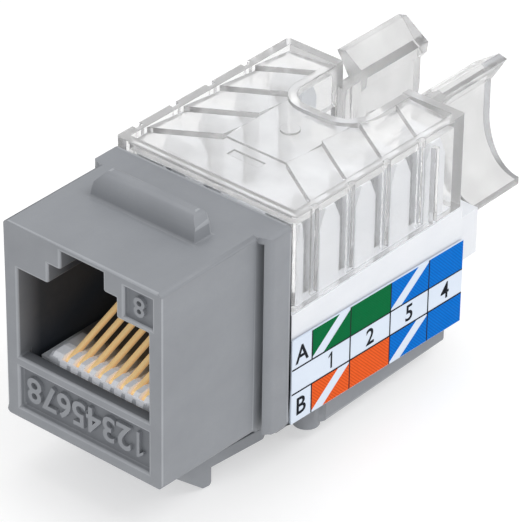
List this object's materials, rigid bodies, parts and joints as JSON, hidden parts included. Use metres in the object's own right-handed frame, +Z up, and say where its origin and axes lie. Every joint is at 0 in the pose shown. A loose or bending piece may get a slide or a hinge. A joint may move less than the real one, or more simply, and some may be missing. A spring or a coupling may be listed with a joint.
{
  "type": "keystone jack",
  "caption": "Right-angle keystone jack with a modular port, a flexing latch, and insulation-displacement terminals under a clear lift-off cap with flexing cable arms.",
  "frame": {"origin": "centre of the footprint at the lowest point, the latch's catch", "axes": "+Y from the port face towards the cable end, +Z up towards the fixed lug, X across the port"},
  "size_m": [0.0166, 0.0406, 0.0224],
  "materials": {
    "grey_plastic": "satin moulded grey",
    "pale_plastic": "satin moulded pale grey",
    "white_plastic": "satin moulded white",
    "clear_plastic": "polished clear",
    "gold_contact": "bright gold plating",
    "tinned_blade": "bright tin plating",
    "board": "green solder mask",
    "label": "printed film"
  },
  "bodies": {
    "base": {"housing": "grey_plastic", "contact_carrier": "pale_plastic", "circuit_board": "board", "idc_block": "white_plastic", "terminal_left_1": "tinned_blade", "terminal_left_2": "tinned_blade", "terminal_left_3": "tinned_blade", "terminal_left_4": "tinned_blade", "terminal_right_1": "tinned_blade", "terminal_right_2": "tinned_blade", "terminal_right_3": "tinned_blade", "terminal_right_4": "tinned_blade", "label_left": "label", "label_right": "label"},
    "latch": {"latch_arm": "grey_plastic"},
    "cap": {"wire_cap": "clear_plastic"},
    "arm_left": {"cable_arm_left": "clear_plastic"},
    "arm_right": {"cable_arm_right": "clear_plastic"},
    "contact_1": {"contact_1": "gold_contact"},
    "contact_2": {"contact_2": "gold_contact"},
    "contact_3": {"contact_3": "gold_contact"},
    "contact_4": {"contact_4": "gold_contact"},
    "contact_5": {"contact_5": "gold_contact"},
    "contact_6": {"contact_6": "gold_contact"},
    "contact_7": {"contact_7": "gold_contact"},
    "contact_8": {"contact_8": "gold_contact"}
  },
  "joints": [
    {"name": "cap_lift", "type": "slide", "parent": "base", "child": "cap", "axis": [0, 0, 1], "range_m": [0, 0.0075]},
    {"name": "latch_flex", "type": "hinge", "parent": "base", "child": "latch", "pos_m": [0, -0.01833, 0.00415], "axis": [1, 0, 0], "range_deg": [0, 9], "stiffness_Nm_per_rad": 0.3},
    {"name": "arm_left_flex", "type": "hinge", "parent": "cap", "child": "arm_left", "pos_m": [-0.0033, 0.01192, 0.01595], "axis": [0, 0, 1], "range_deg": [-4, 4], "stiffness_Nm_per_rad": 0.05},
    {"name": "arm_right_flex", "type": "hinge", "parent": "cap", "child": "arm_right", "pos_m": [0.0033, 0.01192, 0.01595], "axis": [0, 0, -1], "range_deg": [-4, 4], "stiffness_Nm_per_rad": 0.05},
    {"name": "contact_1_flex", "type": "hinge", "parent": "base", "child": "contact_1", "pos_m": [0.00357, -0.0175, 0.00881], "axis": [1, 0, 0], "range_deg": [-8, 0], "stiffness_Nm_per_rad": 0.03},
    {"name": "contact_2_flex", "type": "hinge", "parent": "base", "child": "contact_2", "pos_m": [0.00255, -0.0175, 0.00881], "axis": [1, 0, 0], "range_deg": [-8, 0], "stiffness_Nm_per_rad": 0.03},
    {"name": "contact_3_flex", "type": "hinge", "parent": "base", "child": "contact_3", "pos_m": [0.00153, -0.0175, 0.00881], "axis": [1, 0, 0], "range_deg": [-8, 0], "stiffness_Nm_per_rad": 0.03},
    {"name": "contact_4_flex", "type": "hinge", "parent": "base", "child": "contact_4", "pos_m": [0.00051, -0.0175, 0.00881], "axis": [1, 0, 0], "range_deg": [-8, 0], "stiffness_Nm_per_rad": 0.03},
    {"name": "contact_5_flex", "type": "hinge", "parent": "base", "child": "contact_5", "pos_m": [-0.00051, -0.0175, 0.00881], "axis": [1, 0, 0], "range_deg": [-8, 0], "stiffness_Nm_per_rad": 0.03},
    {"name": "contact_6_flex", "type": "hinge", "parent": "base", "child": "contact_6", "pos_m": [-0.00153, -0.0175, 0.00881], "axis": [1, 0, 0], "range_deg": [-8, 0], "stiffness_Nm_per_rad": 0.03},
    {"name": "contact_7_flex", "type": "hinge", "parent": "base", "child": "contact_7", "pos_m": [-0.00255, -0.0175, 0.00881], "axis": [1, 0, 0], "range_deg": [-8, 0], "stiffness_Nm_per_rad": 0.03},
    {"name": "contact_8_flex", "type": "hinge", "parent": "base", "child": "contact_8", "pos_m": [-0.00357, -0.0175, 0.00881], "axis": [1, 0, 0], "range_deg": [-8, 0], "stiffness_Nm_per_rad": 0.03}
  ],
  "couplings": [
    {"joint": "contact_2_flex", "follows": "contact_1_flex", "ratio": 1},
    {"joint": "contact_3_flex", "follows": "contact_1_flex", "ratio": 1},
    {"joint": "contact_4_flex", "follows": "contact_1_flex", "ratio": 1},
    {"joint": "contact_5_flex", "follows": "contact_1_flex", "ratio": 1},
    {"joint": "contact_6_flex", "follows": "contact_1_flex", "ratio": 1},
    {"joint": "contact_7_flex", "follows": "contact_1_flex", "ratio": 1},
    {"joint": "contact_8_flex", "follows": "contact_1_flex", "ratio": 1}
  ]
}
